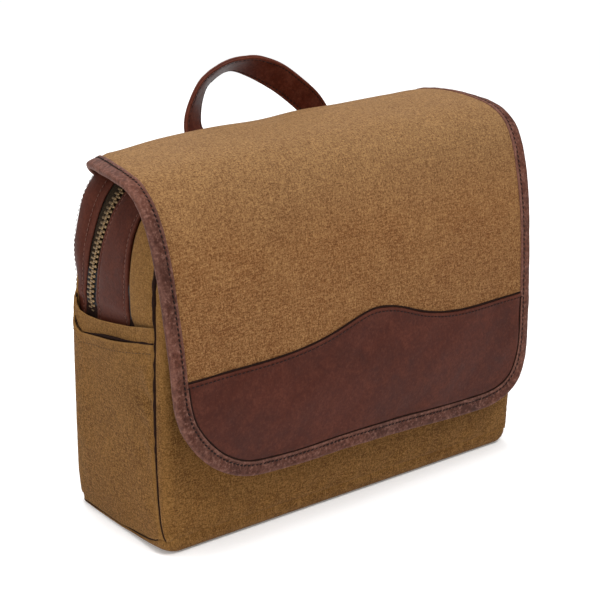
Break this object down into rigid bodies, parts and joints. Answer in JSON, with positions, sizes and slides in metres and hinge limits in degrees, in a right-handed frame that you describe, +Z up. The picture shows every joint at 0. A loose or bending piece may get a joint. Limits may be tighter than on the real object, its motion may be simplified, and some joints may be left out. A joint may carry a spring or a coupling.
{
  "type": "camera bag",
  "caption": "Boxy waxed-canvas camera bag with leather trim, full front flap, zipped gusset, side slip pockets, padded dividers and a short carry strap on the back.",
  "frame": {"origin": "centre of the flat bottom the bag stands on", "axes": "+X to the right seen from the front, -Y out of the front flap, +Z up"},
  "size_m": [0.3261, 0.144, 0.2998],
  "materials": {
    "body_canvas": "waxed canvas, matt, mottled",
    "flap_canvas": "waxed canvas, matt, lighter and rubbed",
    "dark_leather": "smooth reddish-brown leather, satin",
    "binding_leather": "worn folded leather, satin",
    "antique_brass": "antiqued",
    "zip_tape": "woven tape",
    "lining_fabric": "brushed lining",
    "foam": "closed-cell foam",
    "stiffener": "sheet"
  },
  "bodies": {
    "bag": {"bottom_panel": "body_canvas", "base_board": "stiffener", "front_panel": "body_canvas", "back_panel": "body_canvas", "left_side_panel": "body_canvas", "right_side_panel": "body_canvas", "left_pocket_facing": "body_canvas", "right_pocket_facing": "body_canvas", "left_side_pocket": "body_canvas", "right_side_pocket": "body_canvas", "gusset_canvas_strip": "body_canvas", "gusset_leather_front": "dark_leather", "gusset_leather_rear": "dark_leather", "zip_tape_front": "zip_tape", "zip_tape_rear": "zip_tape", "zip_teeth_front": "antique_brass", "zip_teeth_rear": "antique_brass", "zip_end_stops": "antique_brass", "foam_bottom": "foam", "foam_front": "foam", "foam_back": "foam", "foam_left": "foam", "foam_right": "foam", "lining": "lining_fabric", "inner_slip_pocket": "lining_fabric", "snap_sockets": "antique_brass", "flap_yoke": "flap_canvas", "handle_patches": "dark_leather", "handle_feet": "dark_leather", "handle_rivets": "antique_brass"},
    "flap_top": {"flap_top_canvas": "flap_canvas", "flap_top_lining": "lining_fabric", "flap_top_binding": "binding_leather"},
    "flap_front": {"flap_front_canvas": "flap_canvas", "flap_front_lining": "lining_fabric", "flap_front_binding": "binding_leather", "flap_leather_band": "dark_leather", "snap_studs": "antique_brass"},
    "handle": {"handle_strap": "dark_leather", "handle_backing": "dark_leather"},
    "zip_slider": {"zip_slider": "antique_brass"},
    "zip_pull": {"zip_puller": "antique_brass", "zip_pull_tab": "dark_leather"},
    "divider_left": {"divider_left": "lining_fabric"},
    "divider_right": {"divider_right": "lining_fabric"}
  },
  "joints": [
    {"name": "flap_lift", "type": "hinge", "parent": "bag", "child": "flap_top", "pos_m": [0, 0.052, 0.252], "axis": [-1, 0, 0], "range_deg": [0, 88]},
    {"name": "flap_drape", "type": "hinge", "parent": "flap_top", "child": "flap_front", "pos_m": [0, -0.014, 0.2592], "axis": [-1, 0, 0], "range_deg": [0, 55]},
    {"name": "handle_fold", "type": "hinge", "parent": "bag", "child": "handle", "pos_m": [0, 0.062, 0.24], "axis": [-1, 0, 0], "range_deg": [0, 90], "stiffness_Nm_per_rad": 0.03},
    {"name": "zip_slide", "type": "slide", "parent": "bag", "child": "zip_slider", "axis": [0, 0, 1], "range_m": [0, 0.015]},
    {"name": "pull_swing", "type": "hinge", "parent": "zip_slider", "child": "zip_pull", "pos_m": [0.1629, 0.0314, 0.165], "axis": [0, -1, 0], "range_deg": [0, 150]},
    {"name": "divider_left_slide", "type": "slide", "parent": "bag", "child": "divider_left", "axis": [1, 0, 0], "range_m": [-0.06, 0.03], "stiffness_N_per_m": 5},
    {"name": "divider_right_slide", "type": "slide", "parent": "bag", "child": "divider_right", "axis": [1, 0, 0], "range_m": [-0.03, 0.06], "stiffness_N_per_m": 5}
  ],
  "couplings": [
    {"joint": "flap_drape", "follows": "flap_lift", "ratio": 0.6}
  ]
}
